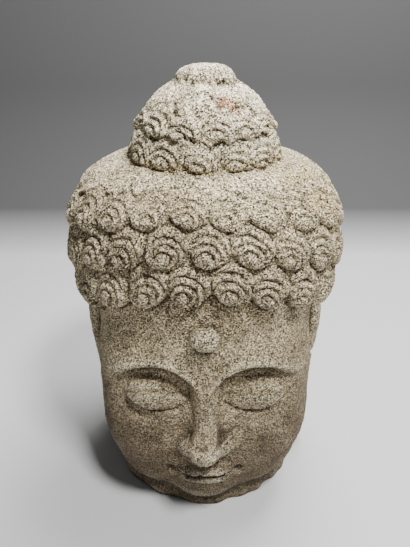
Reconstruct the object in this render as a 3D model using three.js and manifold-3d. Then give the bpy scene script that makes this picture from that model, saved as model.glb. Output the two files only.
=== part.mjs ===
// Carved stone Buddha head: face, long ears, rows of snail curls, the cranial bump (ushnisha) with
// its knob and the broken stub of the neck are all one block of volcanic stone.
// Millimetres, +Z up, the face looks towards -Y, the origin is the middle of the cut underside.
import * as THREE from "three";
import { mergeVertices } from "three/addons/utils/BufferGeometryUtils.js";
import Module from "manifold-3d";

const wasm = await Module();
wasm.setup();

// Driving dimensions
const HEIGHT = 400;
const CAP_HALF_WIDTH = 120;
const CAP_HALF_DEPTH = 115.5;
const CAP_RISE = 91;
const CAP_DROP = 99;
const CAP_CENTRE_Y = 5;
const CAP_CENTRE_Z = 239;
const CAP_SHOULDER_POWER = 3.56;
const CAP_LOWER_POWER = 1.94;
const CAP_PLAN_POWER = 2.1;
const FACE_HALF_WIDTH = 103;
const HAIRLINE_FRONT_Z = 241;
const NAPE_HAIRLINE_Z = 56;
const CHIN_Z = 8;
const NECK_HALF_WIDTH = 96;
const NECK_HALF_DEPTH = 92;
const USHNISHA_RADIUS = 62.5;
const USHNISHA_BASE_Z = 316;
const USHNISHA_RISE = 76;
const KNOB_RADIUS = 24.5;
const KNOB_BASE_Z = 384;
const EAR_TOP_Z = 190;
const EAR_LOW_Z = 19;
const EAR_FACE_X = 114;
const EAR_ROOT_X = 60;
const EAR_HOLLOW_DEPTH = 6;
const URNA_RADIUS = 12;
const URNA_STAND = 8;

// Rows of curls on the cap: the height of each row's lower edge in front, how steeply it falls
// towards the ears, and how high its curls still stand above the wear
const CURLS_ROUND_CAP = 23;
const FIRST_CURL_TURN = 0.035;
const NAPE_ROW = { lift: 5, fall: 0.5, pitch: 30 };
const CAP_ROWS = [
  { z: 241, fall: 0.5, lift: 6 },
  { z: 272, fall: 0.4, lift: 6 },
  { z: 299, fall: 0.28, lift: 4 },
  { z: 316, fall: 0.16, lift: 1.5 },
  { z: 327, fall: 0, lift: 0 },
];

// Rows of curls on the cranial bump, from its foot to the worn dome under the knob
const CURLS_ROUND_BUMP = 14;
const FIRST_BUMP_CURL_TURN = 0.178;
const BUMP_ROWS = [
  { z: 326, lift: 4.5 },
  { z: 349, lift: 3.5 },
  { z: 369, lift: 1 },
  { z: 379, lift: 0 },
];

// The face stands on three equal thirds: hairline to brow, brow to nose base, nose base to chin
const FACE_THIRD = (HAIRLINE_FRONT_Z - CHIN_Z) / 3;
const NOSE_Z = CHIN_Z + FACE_THIRD;
const BROW_Z = NOSE_Z + FACE_THIRD;
const EYE_Z = BROW_Z - 0.3 * FACE_THIRD;
const MOUTH_Z = NOSE_Z - 0.34 * FACE_THIRD;
const EYE_APART = 42;

// ---------------------------------------------------------------- small helpers

const clamp = THREE.MathUtils.clamp;
const point = (x, y, z) => new THREE.Vector3(x, y, z);

function ramp(from, to, value) {
  const t = clamp((value - from) / (to - from), 0, 1);
  return t * t * (3 - 2 * t);
}

function bell(value, width) {
  return Math.exp(-((value / width) ** 2));
}

// The nearer of two surfaces, with a fillet of the given width where they meet
function join(a, b, fillet) {
  const t = clamp(0.5 + 0.5 * (b - a) / fillet, 0, 1);
  return b + (a - b) * t - fillet * t * (1 - t);
}

function cut(a, b, fillet) {
  return -join(-a, b, fillet);
}

// Distance outside an egg. Its outline from the side runs from an ellipse (power 2) to a rounded
// box, and so does its plan
function egg(p, centre, radii, power = 2, plan = power) {
  const x = p.x - centre[0];
  const y = p.y - centre[1];
  const z = p.z - centre[2];
  const level = Math.abs(x / radii[0]) ** plan + Math.abs(y / radii[1]) ** plan;
  const sum = level ** (power / plan) + Math.abs(z / radii[2]) ** power;
  return Math.hypot(x, y, z) * (1 - 1 / (sum ** (1 / power) + 1e-9));
}

// Distance outside a rod that swells from one radius to another
function rod(p, from, to, radiusFrom, radiusTo) {
  const a = point(...from);
  const along = point(...to).sub(a);
  const t = clamp(p.clone().sub(a).dot(along) / along.lengthSq(), 0, 1);
  return p.distanceTo(a.addScaledVector(along, t)) - THREE.MathUtils.lerp(radiusFrom, radiusTo, t);
}

// ---------------------------------------------------------------- the block's masses

// The full masses that the face is carved from, each with the fillet that joins it to those above
const SKULL = { middle: [0, 5, 232], half: [107, 112.5, 98], power: 2.2 };
const FACE_MASSES = {
  oval: { middle: [0, -2, 124], half: [FACE_HALF_WIDTH, 105, 118], power: 2.8, fillet: 14 },
  cheek: { middle: [46, -62, 90], half: [40, 39, 42], power: 2, fillet: 24 },
  jaw: { middle: [40, -48, 46], half: [42, 42, 36], power: 2, fillet: 20 },
  chin: { middle: [0, -80, 31], half: [29, 23, 22], power: 2, fillet: 18 },
  muzzle: { middle: [0, -83, MOUTH_Z + 3], half: [38, 24, 27], power: 2, fillet: 18 },
};

function faceMass(m) {
  const skull = egg(m, SKULL.middle, SKULL.half, SKULL.power);
  return Object.values(FACE_MASSES).reduce(
    (form, { middle, half, power, fillet }) => join(form, egg(m, middle, half, power), fillet),
    skull,
  );
}

function browCrest(x) {
  const t = clamp((x - 8) / 76, 0, 1);
  return BROW_Z - 8 + 20 * Math.sin(Math.PI * t ** 0.8) ** 0.9;
}

// Eye sockets under an arched brow, with a soft crest along it
function browRelief(m) {
  const below = browCrest(m.x) - m.z;
  const depth = 9.5 * ramp(88, 50, m.x) * ramp(0, 16, m.x);
  const socket = depth * ramp(-5, 14, below) * (1 - ramp(18, 46, below));
  const crest = 1.8 * bell(below + 4, 7) * ramp(86, 56, m.x) * ramp(2, 12, m.x);
  return (crest - socket) * ramp(-20, -55, m.y);
}

function eyeball(m) {
  return egg(m, [EYE_APART, -79, EYE_Z], [30, 27.5, 20], 2.1);
}

// Lids all but closed: the upper one folds over the lower at a curved lash line
function lidRelief(m) {
  const t = (m.x - EYE_APART) / 28;
  const overLash = m.z - (EYE_Z - 8.5 + 7.5 * t ** 2);
  const lowerLid = ramp(2, -3, overLash) * ramp(-18, -9, overLash);
  return -2.4 * lowerLid * ramp(1.02, 0.8, Math.abs(t)) * ramp(-20, -55, m.y);
}

function nose(m) {
  const bridge = rod(m, [0, -96, BROW_Z - 3], [0, -114, NOSE_Z + 13], 9, 11);
  const tip = egg(m, [0, -116, NOSE_Z + 10], [13, 14, 10.5]);
  const wing = egg(m, [14.5, -105, NOSE_Z + 8], [9.5, 12, 9]);
  return join(join(bridge, tip, 8), wing, 5);
}

function lipRelief(m) {
  const halfMouth = 30;
  const t = clamp(m.x / halfMouth, 0, 1);
  const parting = MOUTH_Z + 4 * t ** 2.2;
  const up = (m.z - parting) / (9.5 * (1 - t ** 1.7) + 0.5);
  const down = (parting - m.z) / (10.5 * (1 - t ** 2) + 0.5);
  const upper = up > 0 && up < 1 ? 5 * Math.sin(Math.PI * up ** 0.7) : 0;
  const lower = down > 0 && down < 1 ? 6 * Math.sin(Math.PI * down ** 0.75) : 0;
  const fold = 4 * bell(m.z - parting, 3.2) * ramp(halfMouth + 7, halfMouth - 4, m.x);
  const corner = 3 * bell(m.x - halfMouth - 1, 5.5) * bell(m.z - MOUTH_Z - 4, 5);
  const lips = (upper + lower) * ramp(halfMouth, halfMouth * 0.55, m.x);
  return (lips - fold - corner) * ramp(-60, -80, m.y);
}

// The broken neck: a rough block under the jaw and the ears, lower in front of the throat
function neckStub(p) {
  const lump = 2.5 * Math.sin(0.11 * p.x + 1.3) * Math.sin(0.09 * p.y + 0.7)
    + 0.8 * Math.sin(0.23 * p.x + 0.19 * p.y);
  const y = p.y - 4;
  const round = Math.hypot(p.x / NECK_HALF_WIDTH, y / NECK_HALF_DEPTH) + 1e-9;
  const side = Math.hypot(p.x, y) * (1 - 1 / round);
  const height = 14 + 0.4 * Math.abs(p.x) + 2 * lump;
  return cut(side + 0.1 * p.z + lump, height - p.z, 8);
}

function nape(p, thickness) {
  return egg(p, [0, 20, 110], [101 + thickness, 78 + thickness, 220], 2.4);
}

function hairMass(p) {
  const centre = [0, CAP_CENTRE_Y, CAP_CENTRE_Z];
  const above = p.z > CAP_CENTRE_Z;
  const radii = [CAP_HALF_WIDTH, CAP_HALF_DEPTH, above ? CAP_RISE : CAP_DROP];
  const power = above ? CAP_SHOULDER_POWER : CAP_LOWER_POWER;
  return join(egg(p, centre, radii, power, CAP_PLAN_POWER), nape(p, 5), 10);
}

function faceForm(p) {
  const m = point(Math.abs(p.x), p.y, p.z);
  let form = faceMass(m) - browRelief(m);
  form = join(form, eyeball(m), 2.5) - lidRelief(m);
  form = join(form, nose(m), 7) - lipRelief(m);
  form = join(form, nape(p, 0), 8);
  return join(form, neckStub(p), 6);
}

// ---------------------------------------------------------------- solids

// A closed geometry as a manifold solid, without the triangles that fold up at a pole
function solid(geometry) {
  geometry.deleteAttribute("normal");
  geometry.deleteAttribute("uv");
  const merged = mergeVertices(geometry, 1e-4);
  const corners = merged.index.array;
  const kept = [];
  for (let i = 0; i < corners.length; i += 3) {
    const [a, b, c] = corners.slice(i, i + 3);
    if (a !== b && b !== c && c !== a) kept.push(a, b, c);
  }
  return new wasm.Manifold(new wasm.Mesh({
    numProp: 3,
    vertProperties: Float32Array.from(merged.attributes.position.array),
    triVerts: Uint32Array.from(kept),
  }));
}

function geometryOf(manifold) {
  const mesh = manifold.getMesh();
  const geometry = new THREE.BufferGeometry();
  geometry.setAttribute("position", new THREE.BufferAttribute(Float32Array.from(mesh.vertProperties), 3));
  geometry.setIndex(new THREE.BufferAttribute(Uint32Array.from(mesh.triVerts), 1));
  geometry.computeVertexNormals();
  return geometry;
}

// The outermost point of a form along a ray
function outermost(form, origin, direction, far = 200) {
  const at = (distance) => form(origin.clone().addScaledVector(direction, distance));
  let outside = far;
  let inside = far;
  while (at(inside) > 0 && inside > 5) {
    outside = inside;
    inside -= 5;
  }
  for (let i = 0; i < 14; i += 1) {
    const middle = (outside + inside) / 2;
    if (at(middle) > 0) outside = middle;
    else inside = middle;
  }
  return origin.clone().addScaledVector(direction, inside);
}

// Splits the four-sided faces of one half of a net the other way, so that its halves are alike
function mirrorDiagonals(corners, columns) {
  const poleRing = 3 * columns;
  for (let i = poleRing; i < corners.length - poleRing; i += 6) {
    const [a, b, d, , c] = corners.slice(i, i + 6);
    if (b % (columns + 1) < columns / 2) corners.set([a, b, c, a, c, d], i);
  }
}

// A closed net of rings from a top pole to a bottom pole, each corner where place puts it
function netOf(columns, rings, place) {
  const net = new THREE.SphereGeometry(1, columns, rings);
  for (let ring = 0; ring <= rings; ring += 1) {
    for (let column = 0; column <= columns; column += 1) {
      const at = place(column % columns, ring);
      net.attributes.position.setXYZ(ring * (columns + 1) + column, at.x, at.y, at.z);
    }
  }
  mirrorDiagonals(net.index.array, columns);
  return solid(net);
}

// Level rings down the face and neck, closest together over the brows, eyes, nose and mouth
const BELOW_GROUND = 6;
const FACE_LEVELS = [
  { top: HAIRLINE_FRONT_Z + 14, rings: 3 },
  { top: BROW_Z + 16, rings: 14 },
  { top: EYE_Z - 20, rings: 2 },
  { top: NOSE_Z + 12, rings: 9 },
  { top: MOUTH_Z, rings: 4 },
  { top: MOUTH_Z - 12, rings: 6 },
  { top: -BELOW_GROUND, rings: 1 },
];

function faceHeights() {
  return FACE_LEVELS.flatMap(({ top, rings }, i) => {
    const end = FACE_LEVELS[i + 1]?.top ?? top;
    return Array.from({ length: rings }, (_, ring) => THREE.MathUtils.lerp(top, end, ring / rings));
  });
}

// The face and neck: the net's upright lines are closest together over the face too
function faceBlock() {
  const columns = 44;
  const crowd = 0.7;
  const heights = faceHeights();
  return netOf(columns, heights.length + 1, (column, ring) => {
    const z = heights[clamp(ring - 1, 0, heights.length - 1)];
    const axis = point(0, CAP_CENTRE_Y, z);
    if (ring === 0 || ring > heights.length) return axis;
    const around = (column / columns) * 2 * Math.PI;
    const turn = around - crowd * Math.sin(around);
    return outermost(faceForm, axis, point(Math.sin(turn), -Math.cos(turn), 0));
  });
}

// Rings over one row of curls: a shadowed foot, a lip that hangs over it and a crown
const CURL_RINGS = [
  { up: 0, lift: 0 },
  { up: 0.08, lift: 1 },
  { up: 0.6, lift: 0.9 },
];
const CORNERS_IN_CURL = 4;

// The plainer rows on the nape, and a row worn almost flat, which has no edge
const NAPE_RINGS = [
  { up: 0, lift: 0 },
  { up: 0.16, lift: 1 },
];
const WORN_LIFT = 2;
const WORN_RINGS = [
  { up: 0.3, lift: 0, straight: true },
  { up: 0.8, lift: 0, straight: true },
];

function ringsOf(row, lift) {
  if (row < 0) return NAPE_RINGS;
  return lift < WORN_LIFT ? WORN_RINGS : CURL_RINGS;
}

// The rings of the rows from one number up to another
function curlLevels(from, to, liftOf) {
  const levels = [];
  for (let row = from; row < to; row += 1) {
    for (const step of ringsOf(row, liftOf(row))) levels.push({ row, step });
  }
  return levels;
}

// Where a corner of the net lies on its curl: rows are laid like bricks, with rounded lower edges
function curlCorner(column, row, step) {
  const shift = Math.abs(row % 2) / 2;
  const across = (column / CORNERS_IN_CURL + shift) % 1;
  const fromMiddle = Math.abs(2 * across - 1);
  const rounding = step.straight ? 0 : 0.32 * fromMiddle ** 2 * (1 - step.up);
  return { up: step.up + rounding, lift: step.lift * (1 - 0.75 * fromMiddle ** 2) };
}

function between(rows, at, name) {
  const low = clamp(Math.floor(at), 0, rows.length - 2);
  return THREE.MathUtils.lerp(rows[low][name], rows[low + 1][name], at - low);
}

// How far back from the front a row has run at an angle round the cap; behind the ears it runs level
function runBack(angle) {
  const turned = Math.abs(Math.atan2(Math.sin(angle), Math.cos(angle)));
  return 138 * ramp(0, 2.2, turned);
}

// The height of a line counted in rows, at an angle round the cap; rows below 0 are on the nape
function rowHeight(at, angle) {
  if (at < 0) return CAP_ROWS[0].z + at * NAPE_ROW.pitch - NAPE_ROW.fall * runBack(angle);
  return between(CAP_ROWS, at, "z") - between(CAP_ROWS, at, "fall") * runBack(angle);
}

function onCap(angle, at, lift) {
  const outward = point(Math.sin(angle), -Math.cos(angle), 0);
  const axis = point(0, CAP_CENTRE_Y, rowHeight(at, angle));
  return outermost(hairMass, axis, outward).addScaledVector(outward, lift);
}

// The hair cap, with its rows of curls, down to a hairline that falls past the ears to the nape
function hairCap() {
  const napeRows = 4;
  const columns = CURLS_ROUND_CAP * CORNERS_IN_CURL;
  const liftOf = (row) => (row < 0 ? NAPE_ROW.lift : CAP_ROWS[row].lift);
  const levels = curlLevels(-napeRows, CAP_ROWS.length - 1, liftOf);
  const cap = netOf(columns, levels.length + 1, (column, ring) => {
    if (ring === 0) return point(0, CAP_CENTRE_Y, CAP_CENTRE_Z + CAP_RISE);
    if (ring === levels.length + 1) return point(0, CAP_CENTRE_Y, 0);
    const { row, step } = levels[levels.length - ring];
    const corner = curlCorner(column, row, step);
    const angle = (column / columns) * 2 * Math.PI + FIRST_CURL_TURN;
    return onCap(angle, row + corner.up, liftOf(row) * corner.lift);
  });
  return cap.intersect(aboveHairline());
}

function aboveHairline() {
  const behindEarY = 50;
  const front = -200;
  const back = 200;
  const fallAt = (y) => HAIRLINE_FRONT_Z - 4 - NAPE_ROW.fall * (y - CAP_CENTRE_Y + CAP_HALF_DEPTH);
  const side = new THREE.Shape([
    new THREE.Vector2(front, fallAt(front)),
    new THREE.Vector2(behindEarY, fallAt(behindEarY)),
    new THREE.Vector2(behindEarY + 8, NAPE_HAIRLINE_Z + 6),
    new THREE.Vector2(behindEarY + 20, NAPE_HAIRLINE_Z),
    new THREE.Vector2(back, NAPE_HAIRLINE_Z - 8),
    new THREE.Vector2(back, HEIGHT),
    new THREE.Vector2(front, HEIGHT),
  ]);
  const upright = new THREE.Matrix4().makeBasis(point(0, 1, 0), point(0, 0, 1), point(1, 0, 0));
  const kept = new THREE.ExtrudeGeometry(side, { depth: 400, bevelEnabled: false });
  return solid(kept.translate(0, 0, -200).applyMatrix4(upright));
}

// Half the width of the cranial bump and its flat-topped knob at a height
function bumpRadius(z) {
  const rise = clamp((z - USHNISHA_BASE_Z) / USHNISHA_RISE, 0, 0.995);
  const dome = USHNISHA_RADIUS * (1 - rise ** 2.2) ** (1 / 2.2);
  if (z < KNOB_BASE_Z - 2) return dome;
  const knob = clamp((z - KNOB_BASE_Z - 8) / (HEIGHT - KNOB_BASE_Z - 8), 0, 1);
  return Math.max(dome, KNOB_RADIUS * (1 - 0.25 * knob ** 2));
}

// A worn surface: slow lumps that no two places share
function wornBy(p, amount) {
  const slow = Math.sin(0.09 * p.x + 1.1) * Math.sin(0.083 * p.y + 0.4);
  return amount * (slow + 0.6 * Math.sin(0.17 * p.x - 0.13 * p.y + 0.11 * p.z));
}

function ushnisha() {
  const columns = CURLS_ROUND_BUMP * CORNERS_IN_CURL;
  const levels = curlLevels(0, BUMP_ROWS.length - 1, (row) => BUMP_ROWS[row].lift);
  const above = [KNOB_BASE_Z, KNOB_BASE_Z + 4, HEIGHT - 3, HEIGHT];
  const rings = levels.length + above.length + 2;
  return netOf(columns, rings, (column, ring) => {
    if (ring === 0) return point(0, 0, HEIGHT);
    if (ring === rings) return point(0, 0, USHNISHA_BASE_Z - 30);
    const angle = (column / columns) * 2 * Math.PI + FIRST_BUMP_CURL_TURN;
    const outward = point(Math.sin(angle), -Math.cos(angle), 0);
    const count = rings - 1 - ring;
    let z = USHNISHA_BASE_Z - 20;
    let lift = 0;
    if (count > levels.length) z = above[count - levels.length - 1];
    else if (count > 0) {
      const { row, step } = levels[count - 1];
      const corner = curlCorner(column, row, step);
      z = between(BUMP_ROWS, row + corner.up, "z");
      lift = BUMP_ROWS[row].lift * corner.lift;
    }
    const edge = z === HEIGHT ? -5 : 0;
    const place = outward.multiplyScalar(bumpRadius(z) + lift + edge).setZ(z);
    return place.addScaledVector(point(place.x, place.y, 0).normalize(), wornBy(place, 1));
  });
}

// The long ear in outline, seen from the side, with its bowl and the slit in its lobe
function ear(side) {
  const helix = 23;
  const lobe = 13;
  const helixY = 17;
  const lobeY = 4;
  const outline = new THREE.Shape();
  outline.moveTo(lobeY - lobe, EAR_LOW_Z + lobe);
  outline.absarc(lobeY, EAR_LOW_Z + lobe, lobe, Math.PI, 2 * Math.PI);
  outline.quadraticCurveTo(lobeY + 18, 110, helixY + helix, EAR_TOP_Z - helix);
  outline.absarc(helixY, EAR_TOP_Z - helix, helix, 0, Math.PI);
  outline.quadraticCurveTo(-9, 112, lobeY - lobe, EAR_LOW_Z + lobe);
  const rim = 4;
  const thickness = EAR_FACE_X - EAR_ROOT_X;
  const rounded = { bevelSize: rim, bevelThickness: rim, bevelOffset: -rim, bevelSegments: 1 };
  const cast = { depth: thickness - rim, curveSegments: 5, ...rounded };
  const plate = new THREE.ExtrudeGeometry(outline, cast);
  const bowl = new THREE.Shape().absellipse(helixY, EAR_TOP_Z - 34, 12, 23, 0, 2 * Math.PI);
  const hollow = new THREE.ExtrudeGeometry(bowl, { depth: 30, curveSegments: 4, bevelEnabled: false });
  hollow.translate(0, 0, thickness - EAR_HOLLOW_DEPTH);
  const slot = new THREE.Shape().absellipse(lobeY + 3, 70, 3.5, 27, 0, 2 * Math.PI);
  const slit = new THREE.ExtrudeGeometry(slot, { depth: 30, curveSegments: 3, bevelEnabled: false });
  slit.translate(0, 0, thickness - EAR_HOLLOW_DEPTH);
  const upright = new THREE.Matrix4().makeBasis(point(0, 1, 0), point(0, 0, 1), point(1, 0, 0));
  upright.setPosition(EAR_ROOT_X, 0, 0);
  const carved = solid(plate.applyMatrix4(upright))
    .subtract(solid(hollow.applyMatrix4(upright)))
    .subtract(solid(slit.applyMatrix4(upright)));
  return side > 0 ? carved : carved.mirror([1, 0, 0]);
}

// The round mark between the brows
function urna() {
  const browY = -107;
  const mark = new THREE.SphereGeometry(1, 12, 6).rotateX(Math.PI / 2);
  mark.scale(URNA_RADIUS, URNA_STAND, URNA_RADIUS);
  return solid(mark.translate(0, browY, HAIRLINE_FRONT_Z - 0.45 * FACE_THIRD));
}

// All the masses as one block, cut off flat at the height that it stands on
function buddhaHead() {
  const ground = solid(new THREE.BoxGeometry(HEIGHT, HEIGHT, 100).translate(0, 0, -50));
  return faceBlock().add(hairCap()).add(ushnisha()).add(urna()).add(ear(1)).add(ear(-1)).subtract(ground);
}

const stone = new THREE.MeshStandardMaterial({ color: 0x9a9080, roughness: 0.95, metalness: 0 });
const head = new THREE.Mesh(geometryOf(buddhaHead()), stone);
head.name = "buddha_head";

export default new THREE.Group().add(head);
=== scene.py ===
import math

import bpy
import numpy as np
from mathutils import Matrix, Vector


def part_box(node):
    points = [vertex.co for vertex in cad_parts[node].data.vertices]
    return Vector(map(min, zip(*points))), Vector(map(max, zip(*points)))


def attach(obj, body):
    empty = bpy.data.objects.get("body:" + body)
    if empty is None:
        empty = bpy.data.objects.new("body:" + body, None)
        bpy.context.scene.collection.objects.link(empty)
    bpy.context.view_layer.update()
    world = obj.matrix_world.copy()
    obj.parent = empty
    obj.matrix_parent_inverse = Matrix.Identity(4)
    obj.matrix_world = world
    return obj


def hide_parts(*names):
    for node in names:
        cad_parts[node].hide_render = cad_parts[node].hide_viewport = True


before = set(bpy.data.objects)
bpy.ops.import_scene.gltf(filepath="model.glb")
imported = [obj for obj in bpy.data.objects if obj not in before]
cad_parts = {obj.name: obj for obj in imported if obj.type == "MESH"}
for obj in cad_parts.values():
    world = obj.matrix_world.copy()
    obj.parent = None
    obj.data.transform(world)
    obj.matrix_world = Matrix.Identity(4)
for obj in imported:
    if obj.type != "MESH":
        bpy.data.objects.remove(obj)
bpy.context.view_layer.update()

# ------------------------------------------------------------------------------------------
# The carved head's masses. One block of porous volcanic stone: a full face under a cap of hair,
# a cranial bump with a knob, long ears against the jaw and the stub of a broken neck.
# Every mass is a distance in millimetres from points given as arrays of x, y and z.

HEAD_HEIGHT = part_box("buddha_head")[1][2] * 1000
CAP_CENTRE = (0, 5, 239)
CAP_RADII = (120, 115.5)
CAP_RISE, CAP_DROP = 91, 99
CAP_SHOULDER_POWER, CAP_LOWER_POWER, CAP_PLAN_POWER = 3.56, 1.94, 2.1
FACE_HALF_WIDTH = 103
HAIRLINE_Z = 241
NAPE_HAIRLINE_Z = 56
CHIN_Z = 8
FACE_THIRD = (HAIRLINE_Z - CHIN_Z) / 3
NOSE_Z = CHIN_Z + FACE_THIRD
BROW_Z = NOSE_Z + FACE_THIRD
EYE_Z = BROW_Z - 0.3 * FACE_THIRD
MOUTH_Z = NOSE_Z - 0.34 * FACE_THIRD
EYE_APART, EYE_HALF_WIDTH = 42, 28
URNA_Z = HAIRLINE_Z - 0.45 * FACE_THIRD


def ramp(start, end, value):
    t = np.clip((value - start) / (end - start), 0, 1)
    return t * t * (3 - 2 * t)


def bell(value, width):
    return np.exp(-((value / width) ** 2))


def join(a, b, fillet):
    t = np.clip(0.5 + 0.5 * (b - a) / fillet, 0, 1)
    return b + (a - b) * t - fillet * t * (1 - t)


def cut(a, b, fillet):
    return -join(-a, b, fillet)


def egg(p, centre, radii, power=2.0, plan=None):
    """An ellipsoid, or a squarer form where the powers are above two; plan is the level one."""
    x, y, z = (axis - middle for axis, middle in zip(p, centre))
    plan = plan or power
    level = np.abs(x / radii[0]) ** plan + np.abs(y / radii[1]) ** plan
    total = level ** (power / plan) + np.abs(z / radii[2]) ** power
    return np.sqrt(x * x + y * y + z * z) * (1 - 1 / (total ** (1 / power) + 1e-9))


def rod(p, start, end, start_radius, end_radius):
    """A round bar between two points, with its own radius at each."""
    along = [b - a for a, b in zip(start, end)]
    length = sum(step * step for step in along)
    t = sum((axis - a) * step for axis, a, step in zip(p, start, along)) / length
    t = np.clip(t, 0, 1)
    off = [axis - a - t * step for axis, a, step in zip(p, start, along)]
    return np.sqrt(sum(axis * axis for axis in off)) - (start_radius + (end_radius - start_radius) * t)


# Both halves of the face are carved alike, so its parts are measured at m, a point folded over on
# to the half where x is positive: the right, as seen from in front
def face_mass(m):
    skull = egg(m, (0, 5, 232), (107, 112.5, 98), 2.2)
    oval = egg(m, (0, -2, 124), (FACE_HALF_WIDTH, 105, 118), 2.8)
    cheek = egg(m, (46, -62, 90), (40, 39, 42))
    jaw = egg(m, (40, -48, 46), (42, 42, 36))
    chin = egg(m, (0, -80, 31), (29, 23, 22))
    muzzle = egg(m, (0, -83, MOUTH_Z + 3), (38, 24, 27))
    head = join(join(skull, oval, 14), cheek, 24)
    return join(join(join(head, jaw, 20), chin, 18), muzzle, 18)


def brow_crest(x):
    t = np.clip((x - 8) / 76, 0, 1)
    return BROW_Z - 8 + 20 * np.sin(np.pi * t ** 0.8) ** 0.9


# Under the brows' crest the surface sinks to the sockets
SOCKET_DEPTH, BROW_STAND = 9.5, 2.2


def brow_relief(m):
    x, y, z = m
    below = brow_crest(x) - z
    depth = SOCKET_DEPTH * ramp(88, 50, x) * ramp(0, 16, x)
    socket = depth * ramp(-1, 9, below) * (1 - ramp(18, 46, below))
    crest = BROW_STAND * bell(below + 1.5, 4) * ramp(98, 72, x) * ramp(2, 12, x)
    return (crest - socket) * ramp(-20, -55, y)


def eyeball(m):
    return egg(m, (EYE_APART, -79, EYE_Z), (30, 27.5, 20), 2.1)


def lid_relief(m):
    """The lids are all but closed: the upper one folds over the lower at a curved lash line."""
    x, y, z = m
    t = (x - EYE_APART) / EYE_HALF_WIDTH
    within = ramp(1.02, 0.86, np.abs(t))
    over_lash = z - (EYE_Z - 8.5 + 7.5 * t ** 2)
    over_fold = z - (EYE_Z + 10 - 9 * t ** 2)
    lower_lid = ramp(0.7, -0.7, over_lash) * ramp(-16, -9, over_lash)
    lash = 1.7 * lower_lid + 1.3 * bell(over_lash + 0.6, 1.3) - 0.7 * bell(over_lash + 5, 2.4)
    return -(lash + 1.5 * bell(over_fold, 1.5)) * within * ramp(-20, -55, y)


def nose(m):
    bridge = rod(m, (0, -96, BROW_Z - 3), (0, -114, NOSE_Z + 13), 9, 11)
    tip = egg(m, (0, -116, NOSE_Z + 10), (13, 14, 10.5))
    wing = egg(m, (14.5, -105, NOSE_Z + 8), (9.5, 12, 9))
    nostril = egg(m, (7.5, -112, NOSE_Z - 1), (4, 5.5, 4))
    return cut(join(join(bridge, tip, 8), wing, 5), nostril, 2)


# The closed mouth, with how tall each lip is and how far it stands out
MOUTH_HALF_WIDTH = 30
UPPER_LIP_TALL, UPPER_LIP_STAND = 9.5, 5
LOWER_LIP_TALL, LOWER_LIP_STAND = 10.5, 6


def lip_relief(m):
    x, y, z = m
    t = np.clip(x / MOUTH_HALF_WIDTH, 0, 1)
    parting = MOUTH_Z + 4 * t ** 2.2
    up = np.clip((z - parting) / (UPPER_LIP_TALL * (1 - t ** 1.7) + 0.5), 0, 1)
    down = np.clip((parting - z) / (LOWER_LIP_TALL * (1 - t ** 2) + 0.5), 0, 1)
    upper_lip = UPPER_LIP_STAND * np.sin(np.pi * up ** 0.7)
    lower_lip = LOWER_LIP_STAND * np.sin(np.pi * down ** 0.75)
    lips = (upper_lip + lower_lip) * ramp(MOUTH_HALF_WIDTH, MOUTH_HALF_WIDTH * 0.55, x)
    fold = 3 * bell(z - parting, 1.8) * ramp(MOUTH_HALF_WIDTH + 7, MOUTH_HALF_WIDTH - 4, x)
    corner = 3 * bell(x - MOUTH_HALF_WIDTH - 1, 5.5) * bell(z - MOUTH_Z - 4, 5)
    return (lips - fold - corner) * ramp(-60, -80, y)


# The stub of the neck: a short drum, lowest in front, broken off rough and worn at its lower edge
STUB_RADII = (96, 92)
STUB_FORWARD = 1
STUB_FRONT_HEIGHT = 14
STUB_RISE = 0.4
STUB_TAPER = 0.1
STUB_WEAR, STUB_WEAR_HEIGHT = 2, 8


def stub_lumps(p):
    x, y, z = p
    broad = 2.5 * np.sin(0.11 * x + 1.3) * np.sin(0.09 * y + 0.7)
    return broad + 0.8 * np.sin(0.23 * x + 0.19 * y)


def neck_stub(p):
    x, y, z = p
    lump = stub_lumps(p)
    y = y + STUB_FORWARD
    outline = np.hypot(x / STUB_RADII[0], y / STUB_RADII[1]) + 1e-9
    side = np.hypot(x, y) * (1 - 1 / outline)
    height = STUB_FRONT_HEIGHT + STUB_RISE * np.abs(x) + 2 * lump
    worn_edge = STUB_WEAR * (1 - ramp(0, STUB_WEAR_HEIGHT, z))
    return cut(side + STUB_TAPER * z + lump + worn_edge, height - z, 8)


def nape(p, thickness):
    return egg(p, (0, 20, 110), (101 + thickness, 78 + thickness, 220), 2.4)


# The long ear lies flat against the jaw: a helix, a bowl inside it and a slit in the lobe
EAR_TOP, EAR_LOW, EAR_FACE = 190, 19, 112
HELIX_RADIUS, LOBE_RADIUS = 23, 13
BOWL_DEPTH = 6
SLIT_Z, SLIT_DEPTH = 66, 5.5


def half_round(above_middle, radius):
    """Half the width of a disc at a height above its middle."""
    return radius * np.sqrt(np.clip(1 - (above_middle / radius) ** 2, 0, 1))


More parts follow.
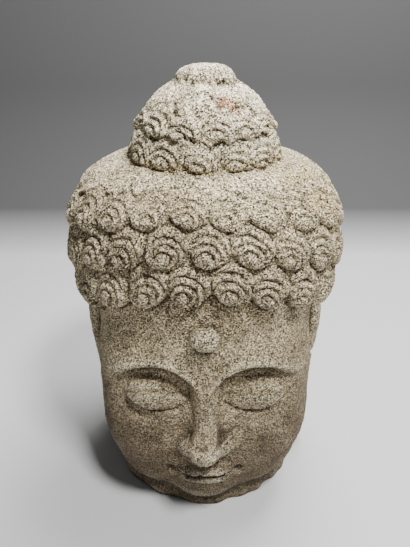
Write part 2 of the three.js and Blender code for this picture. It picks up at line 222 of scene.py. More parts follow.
def ear(m):
    x, y, z = m
    t = np.clip((z - EAR_LOW) / (EAR_TOP - EAR_LOW), 0, 1)
    middle = 4 + 13 * ramp(0.1, 0.85, t)
    helix = half_round(z - EAR_TOP + HELIX_RADIUS, HELIX_RADIUS)
    lobe = half_round(z - EAR_LOW - LOBE_RADIUS, LOBE_RADIUS)
    stem = LOBE_RADIUS + (HELIX_RADIUS - LOBE_RADIUS) * ramp(0.3, 0.86, t)
    below_helix = np.where(z < EAR_LOW + LOBE_RADIUS, lobe, stem)
    half = np.where(z > EAR_TOP - HELIX_RADIUS, helix, below_helix)
    inside = half - np.abs(y - middle)
    bowl = np.hypot((y - middle) / 12, (z - EAR_TOP + 34) / 23)
    slit = np.hypot((y - middle) / 3.6, (z - SLIT_Z) / 27)
    hollow = BOWL_DEPTH * ramp(1.15, 0.75, bowl) + SLIT_DEPTH * ramp(1.3, 0.7, slit)
    concha = 2.5 * ramp(0.75, 0.45, np.hypot((y - middle + 3) / 12, (z - EAR_TOP + 38) / 23))
    face = EAR_FACE + 5 * ramp(100, 165, z) - hollow + concha - 1.5 * ramp(6, 0, inside)
    return cut(x - face, inside, 4)


def urna(p):
    return egg(p, (0, -107, URNA_Z), (12, 8, 12))


def face_form(p):
    m = (np.abs(p[0]), p[1], p[2])
    form = face_mass(m) - brow_relief(m)
    form = join(form, eyeball(m), 2.5) - lid_relief(m)
    form = join(form, nose(m), 7) - lip_relief(m)
    form = join(form, nape(m, 0), 8)
    form = join(form, neck_stub(p), 6)
    form = join(form, ear(m), 2.5)
    return join(form, urna(p), 1.2)


def hair_form(p):
    above = p[2] > CAP_CENTRE[2]
    half_height = np.where(above, CAP_RISE, CAP_DROP)
    power = np.where(above, CAP_SHOULDER_POWER, CAP_LOWER_POWER)
    return join(egg(p, CAP_CENTRE, (*CAP_RADII, half_height), power, CAP_PLAN_POWER), nape(p, 5), 10)


# The cranial bump: a dome that ends in a flat-topped knob
BUMP_RADIUS, BUMP_BASE, BUMP_RISE, BUMP_POWER = 62.5, 316, 76, 2.2
KNOB_RADIUS, KNOB_BASE, KNOB_POWER = 24.5, 384, 2.6


def bump_form(p):
    x, y, z = p
    out = np.hypot(x, y)
    above_base = (x, y, np.maximum(z, BUMP_BASE))
    dome = egg(above_base, (0, 0, BUMP_BASE), (BUMP_RADIUS, BUMP_RADIUS, BUMP_RISE), BUMP_POWER)
    knob_radii = (KNOB_RADIUS, KNOB_RADIUS, HEAD_HEIGHT - KNOB_BASE - 3)
    knob = egg(p, (0, 0, KNOB_BASE + 2), knob_radii, KNOB_POWER)
    return join(np.where(z < BUMP_BASE, out - BUMP_RADIUS, dome), knob, 2)


def outermost(form, axis, outward, far, step=5.0, halvings=11):
    """The outermost point of a form along each ray, sought inwards from a distance beyond it."""
    reach = np.full(axis.shape[0], float(far))
    searching = np.arange(axis.shape[0])
    while len(searching):
        place = axis[searching] + outward[searching] * reach[searching, None]
        outside = form(place.T) > 0
        searching = searching[outside]
        reach[searching] -= step
        searching = searching[reach[searching] > step]
    inner, outer = reach, reach + step
    for _ in range(halvings):
        middle = (inner + outer) / 2
        outside = form((axis + outward * middle[:, None]).T) > 0
        outer = np.where(outside, middle, outer)
        inner = np.where(outside, inner, middle)
    return (inner + outer) / 2


# ------------------------------------------------------------------------------------------
# The net that the block is carved on: level rings on the knob and the bump, rings that follow
# the rows of curls on the cap, and rings that sink from the hairline to the flat underside.
# The rings lie about a millimetre apart among the curls, and up to about three below the hairline.

CAP_ROW_Z = (241, 272, 299, 318, 327)
CAP_ROW_FALL = (0.5, 0.4, 0.28, 0.16, 0)
COLUMNS = 384
BUMP_COLUMNS = COLUMNS // 2
FRONT_CROWD = 0.42
ROW_RUN_BACK = 138
ROW_RUN_BACK_TURN = 2.2
KNOB_LEANS = 15
KNOB_ROUNDING = 9
KNOB_RING_PITCH, BUMP_RING_PITCH = 1.6, 1.2
CAP_RINGS = {4: 13, 3: 19, 2: 26, 1: 30}
FACE_RINGS = ((HAIRLINE_Z, 17), (221, 20), (172, 40), (112, 36), (40, 12))


def column_angles(count):
    """Angles round the head, closer together in front."""
    around = np.arange(count) / count * 2 * np.pi
    return around - FRONT_CROWD * np.sin(around)


def run_back(angle):
    """How far back a row has run at an angle round the cap; behind the ears it runs level."""
    turned = np.abs(np.arctan2(np.sin(angle), np.cos(angle)))
    return ROW_RUN_BACK * ramp(0, ROW_RUN_BACK_TURN, turned)


def row_height(row, angle):
    """Height of a row of curls at an angle: the rows fall as they run back, the lowest the most."""
    row_numbers = np.arange(len(CAP_ROW_Z))
    front = np.interp(row, row_numbers, CAP_ROW_Z)
    return front - np.interp(row, row_numbers, CAP_ROW_FALL) * run_back(angle)


knob_leans = np.linspace(90, 0, KNOB_LEANS)[1:-1] * math.pi / 180
knob_heights = np.arange(HEAD_HEIGHT - KNOB_ROUNDING, KNOB_BASE, -KNOB_RING_PITCH)
bump_heights = np.arange(KNOB_BASE - 1, CAP_ROW_Z[-1] + 1, -BUMP_RING_PITCH)
cap_rows = [np.linspace(row, row - 1, rings, endpoint=False) for row, rings in CAP_RINGS.items()]
cap_rows = np.concatenate([*cap_rows, [0]])
ends = [height for height, _ in FACE_RINGS[1:]] + [0]
face_heights = [
    np.linspace(top, end, rings, endpoint=False) for (top, rings), end in zip(FACE_RINGS, ends)
]
face_fractions = np.concatenate([*face_heights, [0]]) / HAIRLINE_Z


# ------------------------------------------------------------------------------------------
# The snail curls, cut as round buttons in brick-laid rows. Each hangs over the row below with a
# crisp lower edge and tucks its top under the row above; crescent grooves arch over a small boss.
# Rain has worn the upper rows down almost to the dome, so they stand lower and their grooves fade.

CURLS_ROUND_CAP = 23
CURLS_ROUND_BUMP = 14
CAP_FIRST_TURN = 0.035
BUMP_FIRST_TURN = 0.178
NAPE_ROW_PITCH = 30
NAPE_TURN = 1.75
BUMP_ROW_Z = (326, 349, 369, 379)

# A curl's half sizes as shares of its place in the row, how square its outline is and how far its
# top is tucked in, and the hand's wander from curl to curl in millimetres
CURL_HALF_WIDTH, CURL_HALF_HEIGHT = 0.53, 0.57
CURL_SQUARENESS = 5
CURL_TUCK = 0.7
CURL_WANDER, CURL_WOBBLE, CURL_ROUGHNESS = (1.5, 1.4), 0.8, 0.3

# Its grooves: the boss they arch over lies left of the middle and low, and they lean to the right
BOSS_LEFT, BOSS_LOW, BOSS_WIDTH, BOSS_STAND = 3.8, 9.4, 4.0, 0.25
GROOVE_LEAN = 1.1
GROOVE_START, GROOVE_PITCH, GROOVE_FAN, GROOVE_WIDTH = 6.0, 5.0, 0.22, 1.15
MOST_WEAR = 0.25

# Each row: how far its curls stand out, how deep they are grooved and how tall they are
CAP_CURLS = {
    -5: (0, 0, 30), -4: (4.6, 1.1, 30), -3: (4.6, 1.2, 30), -2: (4.6, 1.3, 30), -1: (5, 1.4, 30),
    0: (6.6, 3.1, 31), 1: (6.6, 3.1, 32), 2: (5.6, 3.0, 32), 3: (3.2, 2.4, 26),
}
BUMP_CURLS = {0: (4.2, 2.8, 26), 1: (3.6, 4.2, 29), 2: (1.2, 1.0, 18)}


def hand_made(row, number, kind):
    """A steady value from -1 to 1 that differs from curl to curl, as hand work does."""
    mixed = np.sin(row * 12.9898 + number * 78.233 + kind * 37.719) * 43758.5453
    return 2 * (mixed - np.floor(mixed)) - 1


def crescents(across, up, vary):
    """Depth of the grooves that arch over a curl's boss, from 0 to 1, and the boss itself.

    The grooves lie close together at the lower left and fan out towards the upper right, and the
    outermost band is left plain.
    """
    right = across + BOSS_LEFT - 1.8 * vary(5)
    above = up + BOSS_LOW - 1.4 * vary(6)
    lean = GROOVE_LEAN + 0.35 * vary(7)
    towards = np.cos(np.arctan2(above, right) - lean)
    from_boss = np.hypot(right, above) / (1 + GROOVE_FAN * towards)
    pitch = GROOVE_PITCH + 0.5 * vary(8)
    turns_out = (from_boss - GROOVE_START - 0.6 * vary(9)) / pitch
    nearest = np.round(turns_out)
    beside = (turns_out - nearest) * pitch
    # Most curls have three grooves, and one in five has two
    last_groove = np.where(vary(13) > -0.6, 2, 1)
    cut_here = (nearest >= 0) & (nearest <= last_groove)
    wide = GROOVE_WIDTH + 0.15 * ramp(0, 1, nearest)
    start = -0.30 + 0.20 * np.clip(nearest, 0, 3) + 0.15 * vary(14)
    reach = ramp(start - 0.25, start + 0.25, towards)
    return np.where(cut_here, bell(beside, wide), 0) * reach, bell(from_boss, BOSS_WIDTH)


def row_of_curls(row, turns, rows_up, radius, count, first_turn, stand, groove, tall):
    """Height of one row of curls above the hair, and how far inside a curl each point is."""
    pitch = 2 * np.pi / count
    along = (turns - first_turn) / pitch - 0.5 * (row % 2)
    number = np.floor(along) % count

    def vary(kind):
        return hand_made(row, number, kind)

    across = (along - np.floor(along) - 0.5) * pitch * radius + CURL_WANDER[0] * vary(1)
    up = (rows_up - row - 0.5) * tall + CURL_WANDER[1] * vary(2)
    wavy_across = across + CURL_WOBBLE * np.sin(0.19 * up + 3 * vary(10))
    wavy_across = wavy_across + CURL_ROUGHNESS * np.sin(0.8 * up + across * 0.5)
    wavy_up = up + CURL_WOBBLE * np.sin(0.17 * across + 3 * vary(11))
    wavy_up = wavy_up + CURL_ROUGHNESS * np.sin(0.7 * across - up * 0.6)
    half_width = pitch * radius * (CURL_HALF_WIDTH + 0.03 * vary(3))
    half_height = tall * (CURL_HALF_HEIGHT + 0.03 * vary(4))
    rim = np.hypot(wavy_across / half_width, wavy_up / half_height)
    inside = (1 - rim) * half_height
    button = np.sqrt(np.clip(1 - rim ** CURL_SQUARENESS, 0, 1))
    tuck = 1 - CURL_TUCK * ramp(-0.3, 1.0, up / half_height)
    line, boss = crescents(wavy_across, wavy_up, vary)
    worn = 1 - MOST_WEAR * ramp(-0.2, 0.9, vary(12))
    carved = BOSS_STAND * boss - line * ramp(0.2, 1.8, inside)
    height = stand * button * tuck + groove * worn * carved
    return np.where(rim < 1, height, 0), inside


def curls(rows, turns, rows_up, radius, count, first_turn):
    """All the rows together: the highest curl shows, and rows below the hairline are at the nape only."""
    height = np.zeros_like(rows_up)
    inside = np.full_like(rows_up, -10.0)
    behind = np.abs(np.arctan2(np.sin(turns), np.cos(turns))) > NAPE_TURN
    for row, (stand, groove, tall) in rows.items():
        near = (np.abs(rows_up - row - 0.5) < 0.75) & (behind | (row >= 0))
        if not near.any():
            continue
        shape = (turns[near], rows_up[near], radius[near])
        made, depth = row_of_curls(row, *shape, count, first_turn, stand, groove, tall)
        height[near] = np.maximum(height[near], made)
        inside[near] = np.maximum(inside[near], depth)
    return height, inside


# ------------------------------------------------------------------------------------------
# Carving the net: every ring is drawn in to the block's surface, then the curls are raised on it.
# The hair ends in a ledge over a fine line cut into the skin, in front and at the nape.

# How far from the axis the search for each surface starts
BEYOND_KNOB, BEYOND_BUMP, BEYOND_HEAD = 60, 90, 170
CAP_CURL_RADIUS = 122.0

# The hair's lower edge: skin shows between the curls in the lowest quarter of their row, and the
# hair at the nape starts behind the ears
LOWEST_ROW_TALL = 31
HAIRLINE_SKIN_TOP = 0.32
HAIRLINE_HAIR_FROM = 0.24
HAIR_LINE_DEPTH = 1.8
BEHIND_EAR_Y = 52


def rays(angles, heights, centre_y, lean=0.0):
    """One ring of rays: where they start on the head's axis and the way they point."""
    heights = np.broadcast_to(heights, angles.shape)
    axis = np.stack([np.zeros_like(angles), np.full_like(angles, centre_y), heights], 1)
    flat = math.cos(lean)
    rise = np.full_like(angles, math.sin(lean))
    outward = np.stack([flat * np.sin(angles), -flat * np.cos(angles), rise], 1)
    return axis, outward


def stacked(rings):
    axes, outwards = zip(*rings)
    return np.concatenate(axes), np.concatenate(outwards)


def bump_and_cap(p):
    return join(hair_form(p), bump_form(p), 3)


bump_angles = column_angles(BUMP_COLUMNS)
cap_angles = column_angles(COLUMNS)

knob_rays = stacked([rays(bump_angles, KNOB_BASE + 8, 0, lean) for lean in knob_leans])
knob_reach = outermost(bump_form, *knob_rays, BEYOND_KNOB)
knob_points = knob_rays[0] + knob_rays[1] * knob_reach[:, None]

bump_rings = np.concatenate([knob_heights, bump_heights])
bump_rays = stacked([rays(bump_angles, height, 0) for height in bump_rings])
bump_reach = outermost(bump_and_cap, *bump_rays, BEYOND_BUMP)
bump_turns = np.tile(bump_angles, len(bump_rings))
bump_z = bump_rays[0][:, 2]
bump_row_numbers = range(len(BUMP_ROW_Z))
bump_rows = np.interp(bump_z, BUMP_ROW_Z, bump_row_numbers, left=-1, right=9)
bump_curl, _ = curls(
    BUMP_CURLS, bump_turns, bump_rows, bump_reach, CURLS_ROUND_BUMP, BUMP_FIRST_TURN
)
bump_points = bump_rays[0] + bump_rays[1] * (bump_reach + bump_curl)[:, None]

row_lines = [(row, row_height(row, cap_angles)) for row in cap_rows]
cap_rays = stacked([rays(cap_angles, height, CAP_CENTRE[1]) for _, height in row_lines])
cap_turns = np.tile(cap_angles, len(cap_rows))
cap_rows_up = np.repeat(cap_rows, COLUMNS)

hairline = row_height(0, cap_angles)
face_rays = stacked([rays(cap_angles, hairline * part, CAP_CENTRE[1]) for part in face_fractions])
face_turns = np.tile(cap_angles, len(face_fractions))
face_rows_up = (face_rays[0][:, 2] - np.tile(hairline, len(face_fractions))) / NAPE_ROW_PITCH


def cap_reach_and_curls(ring_rays, turns, rows_up):
    reach = outermost(bump_and_cap, *ring_rays, BEYOND_HEAD)
    radius = np.full_like(reach, CAP_CURL_RADIUS)
    height, inside = curls(CAP_CURLS, turns, rows_up, radius, CURLS_ROUND_CAP, CAP_FIRST_TURN)
    return reach + height, inside


def edged(hair, skin, inside_hair):
    """The hair's edge: a ledge about a millimetre and a half wide over a line cut into the skin."""
    share = ramp(-0.6, 0.9, inside_hair)
    line = HAIR_LINE_DEPTH * bell(inside_hair + 1.7, 1.4)
    return skin - line + (np.maximum(hair, skin) - skin + line) * share


hair, in_curl = cap_reach_and_curls(cap_rays, cap_turns, cap_rows_up)
low = cap_rows_up < HAIRLINE_SKIN_TOP
skin = outermost(face_form, cap_rays[0][low], cap_rays[1][low], BEYOND_HEAD)
between_curls = (cap_rows_up[low] - HAIRLINE_HAIR_FROM) * LOWEST_ROW_TALL
over_hairline = np.maximum(in_curl[low], between_curls)
hair[low] = edged(hair[low], skin, over_hairline)
cap_points = cap_rays[0] + cap_rays[1] * hair[:, None]

face_reach = outermost(face_form, *face_rays, BEYOND_HEAD)
face_at = face_rays[0] + face_rays[1] * face_reach[:, None]
behind_ear = np.minimum(face_at[:, 1] - BEHIND_EAR_Y, face_at[:, 2] - NAPE_HAIRLINE_Z)
haired = (face_rows_up > -0.3) | (behind_ear > -2)
hair, in_curl = cap_reach_and_curls(
    (face_rays[0][haired], face_rays[1][haired]), face_turns[haired], face_rows_up[haired]
)
inside_hair = np.maximum(in_curl, np.minimum(behind_ear[haired], 10))
face_reach[haired] = edged(hair, face_reach[haired], inside_hair)
face_points = face_rays[0] + face_rays[1] * face_reach[:, None]


def ring_quads(first, second, count):
    """Faces between two rings of equal count, given by the number of each ring's first corner."""
    steps = np.arange(count)
    after = (steps + 1) % count
    return np.stack([first + steps, second + steps, second + after, first + after], 1)


def net_faces(first, rings, count):
    """Faces between all the rings of a net, from its first corner down."""
    starts = [first + n * count for n in range(rings)]
    return [ring_quads(upper, lower, count) for upper, lower in zip(starts, starts[1:])]


def widening_faces(first, second, count):
    """Faces from a ring to one with twice as many corners: three triangles to each step."""
    steps = np.arange(count)
    after = (steps + 1) % count
    start, middle = second + 2 * steps, second + 2 * steps + 1
    end = second + (2 * steps + 2) % (2 * count)
    upper, upper_after = first + steps, first + after
    return np.concatenate([
        np.stack([upper, start, middle], 1),
        np.stack([upper, middle, upper_after], 1),
        np.stack([upper_after, middle, end], 1),
    ])


# Chips and pits, with the deep hole on the left of the cap: turn, height, width and depth
CHIPS = (
    (-1.2, 300, 6, 7), (-0.9, 222, 4, 6), (-0.95, 33, 5, 4), (-0.6, 376, 6, 3.5), (-0.25, 377, 5, 3),
    (-1.2, 352, 8, 5), (-1.45, 340, 6, 4), (1.1, 352, 5, 5.5), (0.9, 330, 6, 3), (-0.75, 350, 7, 2.5),
    (0.35, 392, 5, 3), (1.3, 290, 9, 2.5), (-0.4, 262, 5, 2), (0.75, 247, 5, 2.5), (-2.2, 250, 9, 3),
    (2.5, 200, 10, 3), (3.0, 120, 9, 2.5), (1.9, 300, 8, 2.5), (-1.62, 60, 7, 3), (1.58, 120, 6, 2.5),
)


def turns_and_distances(points):
    """How far each point is turned round the head from the front, and how far it is from the axis."""
    return np.arctan2(points[:, 0], -points[:, 1]), np.hypot(points[:, 0], points[:, 1])


def drawn_in(points, across, depth):
    """The points moved level towards the head's axis by a depth."""
    keep = 1 - depth / np.maximum(across, 20)
    return points * np.stack([keep, keep, np.ones_like(keep)], 1)


def chipped(points):
    turns, across = turns_and_distances(points)
    depth = np.zeros(len(points))
    for turn, height, width, deep in CHIPS:
        apart = np.arctan2(np.sin(turns - turn), np.cos(turns - turn)) * across
        away = np.hypot(apart, points[:, 2] - height) / width
        away = away * (1 + 0.25 * np.sin(3 * np.arctan2(points[:, 2] - height, apart) + turn * 9))
        depth += deep * (1 - ramp(0.45, 1.05, away))
    return drawn_in(points, across, depth)


# Cracks in the bump, the longest of them between its two lower rows of curls: turn and height at
# both ends, width and depth
CRACKS = (
    (-1.30, 352, -0.45, 350, 1.8, 2.8), (-0.50, 350, 0.30, 346, 2.0, 3.2), (0.25, 347, 1.25, 353, 1.8, 2.8),
    (0.10, 385, 1.60, 386, 1.6, 3.6), (-0.95, 383, -0.10, 384, 1.5, 2.4), (-0.05, 383, 0.28, 368, 1.8, 3.0),
    (-0.85, 373, -0.35, 366, 1.8, 2.6), (0.35, 371, 0.95, 366, 1.8, 2.4),
)


def cracked(points):
    turns, across = turns_and_distances(points)
    depth = np.zeros(len(points))
    for turn, height, end_turn, end_height, width, deep in CRACKS:
        t = (turns - turn) / (end_turn - turn)
        wander = 1.8 * np.sin(11 * turns + height) + 1.2 * np.sin(27 * turns + 2 * height)
        off = points[:, 2] - height - (end_height - height) * np.clip(t, 0, 1) - wander
        depth += deep * bell(off, width) * ramp(-0.05, 0.1, t) * ramp(1.05, 0.9, t)
    return drawn_in(points, across, depth)


def hollows(points, rings, count, reach=4):
    """How far each point lies below the mean of the surface round it, in millimetres."""
    net = points.reshape(rings, count, 3)
    across = np.roll(net, -reach, 1) - np.roll(net, reach, 1)
    padded = np.pad(net, ((reach, reach), (0, 0), (0, 0)), mode="reflect", reflect_type="odd")
    down = padded[2 * reach:] - padded[:rings]
    normal = np.cross(down, across)
    normal /= np.linalg.norm(normal, axis=2, keepdims=True) + 1e-9
    summed = sum(np.roll(padded, step, 1) for step in range(-reach, reach + 1))
    mean = sum(summed[step:step + rings] for step in range(2 * reach + 1)) / (2 * reach + 1) ** 2
    return ((mean - net) * normal).sum(2).ravel()


upper_points = cracked(chipped(np.concatenate([knob_points, bump_points])))
lower_points = chipped(np.concatenate([cap_points, face_points]))
upper_rings = len(knob_leans) + len(bump_rings)
lower_rings = len(cap_rows) + len(face_fractions)
knob_top = np.array([[0.0, 0.0, knob_points[:, 2].max()]])
foot_centre = np.array([[0.0, 4.0, 0.0]])
corners = np.concatenate([knob_top, upper_points, lower_points, foot_centre])
hollow = np.concatenate([
    [0.0], hollows(upper_points, upper_rings, BUMP_COLUMNS),
    hollows(lower_points, lower_rings, COLUMNS), [0.0],
])

first_lower = 1 + upper_rings * BUMP_COLUMNS
last_ring = first_lower + (lower_rings - 1) * COLUMNS
quads = net_faces(1, upper_rings, BUMP_COLUMNS) + net_faces(first_lower, lower_rings, COLUMNS)
around_top = np.arange(BUMP_COLUMNS)
around_foot = np.arange(COLUMNS)
after_top = (around_top + 1) % BUMP_COLUMNS
after_foot = (around_foot + 1) % COLUMNS
foot = np.full_like(around_foot, len(corners) - 1)
triangles = [
    np.stack([np.zeros_like(around_top), 1 + around_top, 1 + after_top], 1),
    widening_faces(1 + (upper_rings - 1) * BUMP_COLUMNS, first_lower, BUMP_COLUMNS),
    np.stack([last_ring + around_foot, foot, last_ring + after_foot], 1),
]
faces = np.concatenate(quads).tolist() + np.concatenate(triangles).tolist()
block_mesh = bpy.data.meshes.new("carved_block")
block_mesh.from_pydata((corners / 1000).tolist(), [], faces)
block_mesh.polygons.foreach_set("use_smooth", np.ones(len(faces), bool))
# How deep each point lies in a hollow, which the stone's material paints dark as shade and dirt
hollow_shade_layer = block_mesh.attributes.new("hollow", "FLOAT", "POINT")
hollow_shade_layer.data.foreach_set("value", hollow)
carved_block = bpy.data.objects.new("carved_block", block_mesh)
bpy.context.scene.collection.objects.link(carved_block)

# ------------------------------------------------------------------------------------------
# The stone itself: grey-beige andesite, full of open pores with painted shade in them, bleached where rain
# falls on it, painted dark in the hollows with shade and dirt, and brown towards the broken neck, with
# painted shade on the lower face. Lengths here are in metres.

GREY_STONE = (0.400, 0.325, 0.195, 1)
BEIGE_STONE = (0.600, 0.500, 0.315, 1)
BLEACHED_STONE = (1.0, 0.88, 0.62, 1)
BROWN_STONE_AND_SHADE = (0.135, 0.098, 0.060, 1)
RUBBED_STONE = (0.68, 0.60, 0.45, 1)
HOLLOW_SHADE_AND_DIRT = (0.060, 0.046, 0.030, 1)
PAINTED_PORE_SHADE = (0.055, 0.047, 0.036, 1)
CRYSTALS_PER_METRE, GRAIN_PER_METRE, PORES_PER_METRE = 980.0, 920.0, 500.0

# Patches of other colour: middle, radius, colour and strength. The nose is rubbed pale, the bump
# has a rusty spot, and the cap is yellowish in front on the right and darker on the left.
STAINS = (
    ((0.0, -0.122, 0.110), 0.052, (0.52, 0.43, 0.27, 1), 0.9),
    ((0.014, -0.042, 0.370), 0.016, (0.46, 0.20, 0.09, 1), 0.9),
    ((0.078, -0.045, 0.305), 0.045, (0.46, 0.35, 0.16, 1), 0.9),
    ((-0.070, -0.060, 0.300), 0.040, (0.30, 0.22, 0.14, 1), 0.4),
)


def linked(tree, kind, settings=None, **inputs):
    """A node of a tree, with its inputs given by name, or by number as i0, i1 and so on.

    An input is a value, or the output of another node, which is then linked.
    """
    node = tree.nodes.new(kind)
    for name, value in (settings or {}).items():
        setattr(node, name, value)
    for name, value in inputs.items():
        numbered = name[0] == "i" and name[1:].isdigit()
        socket = node.inputs[int(name[1:]) if numbered else name.replace("_", " ")]
        if isinstance(value, bpy.types.NodeSocket):
            tree.links.new(value, socket)
        else:
            socket.default_value = value
    return node


def lava_stone():
    material = bpy.data.materials.new("worn_lava_stone")
    material.use_nodes = True
    tree = material.node_tree
    surface = tree.nodes["Principled BSDF"]
    place = linked(tree, "ShaderNodeTexCoord").outputs["Object"]

    def speckle(scale, detail, roughness):
        look = {"Vector": place, "Scale": scale, "Detail": detail, "Roughness": roughness}
        return linked(tree, "ShaderNodeTexNoise", **look).outputs["Fac"]

    def cells(scale):
        return linked(tree, "ShaderNodeTexVoronoi", Vector=place, Scale=scale, Randomness=1.0)

    def spread(value, low, high, out_low=0.0, out_high=1.0):
        ends = {"i1": low, "i2": high, "i3": out_low, "i4": out_high}
        return linked(tree, "ShaderNodeMapRange", i0=value, **ends).outputs["Result"]

    def times(a, b):
        return linked(tree, "ShaderNodeMath", {"operation": "MULTIPLY"}, i0=a, i1=b).outputs[0]

    def blend(share, first, second, way="MIX"):
        kind = {"data_type": "RGBA", "blend_type": way}
        return linked(tree, "ShaderNodeMix", kind, i0=share, i6=first, i7=second).outputs[2]

    height = linked(tree, "ShaderNodeSeparateXYZ", Vector=place).outputs["Z"]
    hollow_depth = linked(tree, "ShaderNodeAttribute", {"attribute_name": "hollow"}).outputs["Fac"]
    patches = speckle(22, 5, 0.62)
    colour = blend(spread(patches, 0.38, 0.62), GREY_STONE, BEIGE_STONE)

    bleached = times(spread(height, 0.315, 0.385), spread(speckle(34, 4, 0.6), 0.30, 0.52))
    colour = blend(bleached, colour, BLEACHED_STONE)
    # Brown towards the broken neck, which also paints shade on the downward-facing cheeks and lower face
    brown_and_shade = times(spread(height, 0.190, 0.105), spread(speckle(40, 3, 0.6), 0.30, 0.6, 0.65, 0.95))
    colour = blend(brown_and_shade, colour, BROWN_STONE_AND_SHADE)
    for middle, radius, tint, strength in STAINS:
        away = linked(tree, "ShaderNodeVectorMath", {"operation": "DISTANCE"}, i0=place, i1=middle)
        near = spread(away.outputs["Value"], radius, radius * 0.35, 0.0, strength)
        ragged = times(near, spread(speckle(70, 3, 0.6), 0.42, 0.58))
        colour = blend(ragged, colour, tint)

    # Painted shade: the hollows are darkened where shade would fall in them, together with some dirt
    hollow_shade_share = spread(hollow_depth, 0.3, 1.8, 0.0, 0.70)
    colour = blend(hollow_shade_share, colour, HOLLOW_SHADE_AND_DIRT)
    rubbed = spread(hollow_depth, -0.3, -1.4, 0.0, 0.35)
    colour = blend(rubbed, colour, RUBBED_STONE)

    crystals = cells(CRYSTALS_PER_METRE).outputs["Color"]
    crystal_tone = linked(tree, "ShaderNodeSeparateColor", i0=crystals).outputs[0]
    grain = speckle(GRAIN_PER_METRE, 2, 0.7)
    coarse = spread(height, 0.12, 0.24, 0.70, 1.0)
    colour = blend(coarse, colour, spread(crystal_tone, 0.0, 1.0, 0.02, 1.95), "MULTIPLY")
    colour = blend(coarse, colour, spread(grain, 0.38, 0.62, 0.15, 1.80), "MULTIPLY")
    # Painted shade: the open pores are coloured dark where shade would fall in them, and the same spots are
    # pressed in by the bump
    pores = cells(PORES_PER_METRE).outputs["Distance"]
    shaded_pore = times(spread(pores, 0.37, 0.21), spread(speckle(120, 2, 0.5), 0.37, 0.53))
    colour = blend(shaded_pore, colour, PAINTED_PORE_SHADE)
    tree.links.new(colour, surface.inputs["Base Color"])

    tree.links.new(spread(grain, 0.3, 0.7, 0.98, 0.82), surface.inputs["Roughness"])
    surface.inputs["Specular IOR Level"].default_value = 0.25
    relief = linked(tree, "ShaderNodeMath", {"operation": "SUBTRACT"}, i0=grain, i1=shaded_pore).outputs[0]
    bump = linked(tree, "ShaderNodeBump", Strength=1.0, Distance=0.0016, Height=relief)
    tree.links.new(bump.outputs["Normal"], surface.inputs["Normal"])
    return material


stone = lava_stone()

# ------------------------------------------------------------------------------------------
# Weather: rain and frost have roughened the whole block, apart from the cut underside it stands
# on. The surface swells and sinks slowly, is coarse with grain, and has open pits.


def weather_tree():
    tree = bpy.data.node_groups.new("stone_weather", "GeometryNodeTree")
    sockets = tree.interface
    sockets.new_socket("Block", in_out="INPUT", socket_type="NodeSocketGeometry")
    sizes = {
        "Swell Depth": 0.0030, "Swell Scale": 42.0, "Grain Depth": 0.0015, "Grain Scale": 210.0,
        "Fine Depth": 0.0009, "Fine Scale": 520.0, "Pit Depth": 0.0016, "Pit Scale": 95.0,
    }
    for name, value in sizes.items():
        socket = sockets.new_socket(name, in_out="INPUT", socket_type="NodeSocketFloat")
        socket.default_value = value
    seed = sockets.new_socket("Seed", in_out="INPUT", socket_type="NodeSocketFloat")
    seed.default_value = 4.0
    sockets.new_socket("Stone", in_out="INPUT", socket_type="NodeSocketMaterial")
    sockets.new_socket("Block", in_out="OUTPUT", socket_type="NodeSocketGeometry")
    given = tree.nodes.new("NodeGroupInput").outputs
    place = linked(tree, "GeometryNodeInputPosition").outputs[0]
    drift = linked(tree, "ShaderNodeCombineXYZ", X=given["Seed"]).outputs[0]
    moved = linked(tree, "ShaderNodeVectorMath", {"operation": "ADD"}, i0=place, i1=drift).outputs[0]

    def maths(kind, a, b):
        return linked(tree, "ShaderNodeMath", {"operation": kind}, i0=a, i1=b).outputs[0]

    def rough(scale, depth, detail):
        noise = linked(tree, "ShaderNodeTexNoise", Vector=moved, Scale=scale, Detail=detail)
        return maths("MULTIPLY", maths("SUBTRACT", noise.outputs["Fac"], 0.5), depth)

    swell = rough(given["Swell Scale"], given["Swell Depth"], 3.0)
    grain = rough(given["Grain Scale"], given["Grain Depth"], 2.0)
    fine = rough(given["Fine Scale"], given["Fine Depth"], 1.0)
    cells = linked(tree, "ShaderNodeTexVoronoi", Vector=moved, Scale=given["Pit Scale"])
    pit = linked(tree, "ShaderNodeMapRange", i0=cells.outputs["Distance"], i1=0.08, i2=0.26, i3=1.0, i4=0.0)
    where = linked(tree, "ShaderNodeTexNoise", Vector=moved, Scale=30.0)
    often = linked(tree, "ShaderNodeMapRange", i0=where.outputs["Fac"], i1=0.48, i2=0.60)
    pits = maths("MULTIPLY", maths("MULTIPLY", pit.outputs[0], often.outputs[0]), given["Pit Depth"])
    total = maths("SUBTRACT", maths("ADD", maths("ADD", swell, grain), fine), pits)
    level = linked(tree, "ShaderNodeSeparateXYZ", Vector=place).outputs["Z"]
    off_ground = linked(tree, "ShaderNodeMapRange", i0=level, i1=0.0005, i2=0.004)
    push = maths("MULTIPLY", total, off_ground.outputs[0])
    normal = linked(tree, "GeometryNodeInputNormal").outputs[0]
    shift = linked(tree, "ShaderNodeVectorMath", {"operation": "SCALE"}, i0=normal, Scale=push).outputs[0]
    moved_block = linked(tree, "GeometryNodeSetPosition", Geometry=given["Block"], Offset=shift)
    whole = linked(tree, "GeometryNodeRealizeInstances", i0=moved_block.outputs[0])
    dressed = linked(tree, "GeometryNodeSetMaterial", Geometry=whole.outputs[0], Material=given["Stone"])
    result = tree.nodes.new("NodeGroupOutput")
    tree.links.new(dressed.outputs[0], result.inputs[0])
    return tree


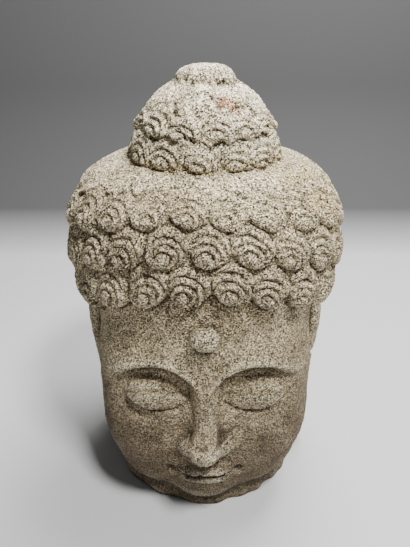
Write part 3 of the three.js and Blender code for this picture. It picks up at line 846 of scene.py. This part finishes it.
weather = carved_block.modifiers.new("weather", "NODES")
weather.node_group = weather_tree()
for item in weather.node_group.interface.items_tree:
    if item.name == "Stone":
        weather[item.identifier] = stone
weathered_block = carved_block.evaluated_get(bpy.context.evaluated_depsgraph_get())
weathered = bpy.data.meshes.new_from_object(weathered_block)
weathered.name = "carved_head"
carved_head = bpy.data.objects.new("carved_head", weathered)
bpy.context.scene.collection.objects.link(carved_head)
bpy.data.objects.remove(carved_block)
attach(carved_head, "root")
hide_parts("buddha_head")

# ------------------------------------------------------------------------------------------
# The studio: a pale grey sweep of paper, with shade painted on it darker where it turns up behind the head,
# a soft key light high in front on the right, and a broad soft light above and behind on the same side.

PAPER_FRONT, PAPER_HALF_WIDTH, PAPER_TOP = -1.6, 3.0, 2.2
BEND_START, BEND_RADIUS, BEND_STEPS = 0.5, 0.3, 14

bend_turns = np.linspace(0.1, math.pi / 2, BEND_STEPS)
sweep_profile = [(PAPER_FRONT, 0.0), (BEND_START, 0.0)]
sweep_profile += [
    (BEND_START + BEND_RADIUS * math.sin(t), BEND_RADIUS - BEND_RADIUS * math.cos(t)) for t in bend_turns
]
sweep_profile += [(BEND_START + BEND_RADIUS, PAPER_TOP)]
sweep_mesh = bpy.data.meshes.new("paper_sweep")
sweep_corners = [(side * PAPER_HALF_WIDTH, y, z) for y, z in sweep_profile for side in (-1, 1)]
sweep_faces = [(2 * n, 2 * n + 1, 2 * n + 3, 2 * n + 2) for n in range(len(sweep_profile) - 1)]
sweep_mesh.from_pydata(sweep_corners, [], sweep_faces)
sweep_mesh.polygons.foreach_set("use_smooth", [True] * len(sweep_faces))
paper_sweep = bpy.data.objects.new("paper_sweep", sweep_mesh)
bpy.context.scene.collection.objects.link(paper_sweep)
paper = bpy.data.materials.new("pale_grey_paper")
paper.use_nodes = True
paper_place = linked(paper.node_tree, "ShaderNodeTexCoord").outputs["Object"]
# Painted shade: the paper's colour darkens towards the back, where the wall would fall out of the light
how_far_back = linked(paper.node_tree, "ShaderNodeSeparateXYZ", Vector=paper_place).outputs["Y"]
grading = {"i1": 0.50, "i2": 0.66, "i3": 0.60, "i4": 0.095}
shade = linked(paper.node_tree, "ShaderNodeMapRange", i0=how_far_back, **grading).outputs[0]
paper_surface = paper.node_tree.nodes["Principled BSDF"]
paper.node_tree.links.new(shade, paper_surface.inputs["Base Color"])
paper_surface.inputs["Roughness"].default_value = 0.95
sweep_mesh.materials.append(paper)


def soft_light(name, place, aim, size, power):
    lamp = bpy.data.lights.new(name, "AREA")
    lamp.shape = "SQUARE"
    lamp.size = size
    lamp.energy = power
    lit = bpy.data.objects.new(name, lamp)
    lit.location = place
    way = [b - a for a, b in zip(place, aim)]
    lit.rotation_euler = Vector(way).to_track_quat("-Z", "Y").to_euler()
    bpy.context.scene.collection.objects.link(lit)


soft_light("key", (0.36, -0.56, 1.35), aim=(0, 0, 0.2), size=0.24, power=27)
soft_light("overhead", (0.30, 0.36, 1.3), aim=(0, 0, 0.15), size=0.7, power=29)

surroundings = bpy.data.worlds.new("studio_air")
surroundings.use_nodes = True
air = surroundings.node_tree.nodes["Background"]
air.inputs["Color"].default_value = (0.86, 0.9, 0.95, 1)
air.inputs["Strength"].default_value = 0.12
bpy.context.scene.world = surroundings

# The camera looks down on the head from in front, as a standing viewer does
LOOK_DOWN = 26.75
camera_data = bpy.data.cameras.new("viewer")
camera_data.sensor_width = 36
camera_data.lens = 32.9
camera = bpy.data.objects.new("viewer", camera_data)
camera.location = (0, -0.434, 0.429)
camera.rotation_euler = (math.radians(90 - LOOK_DOWN), 0, 0)
bpy.context.scene.collection.objects.link(camera)
bpy.context.scene.camera = camera
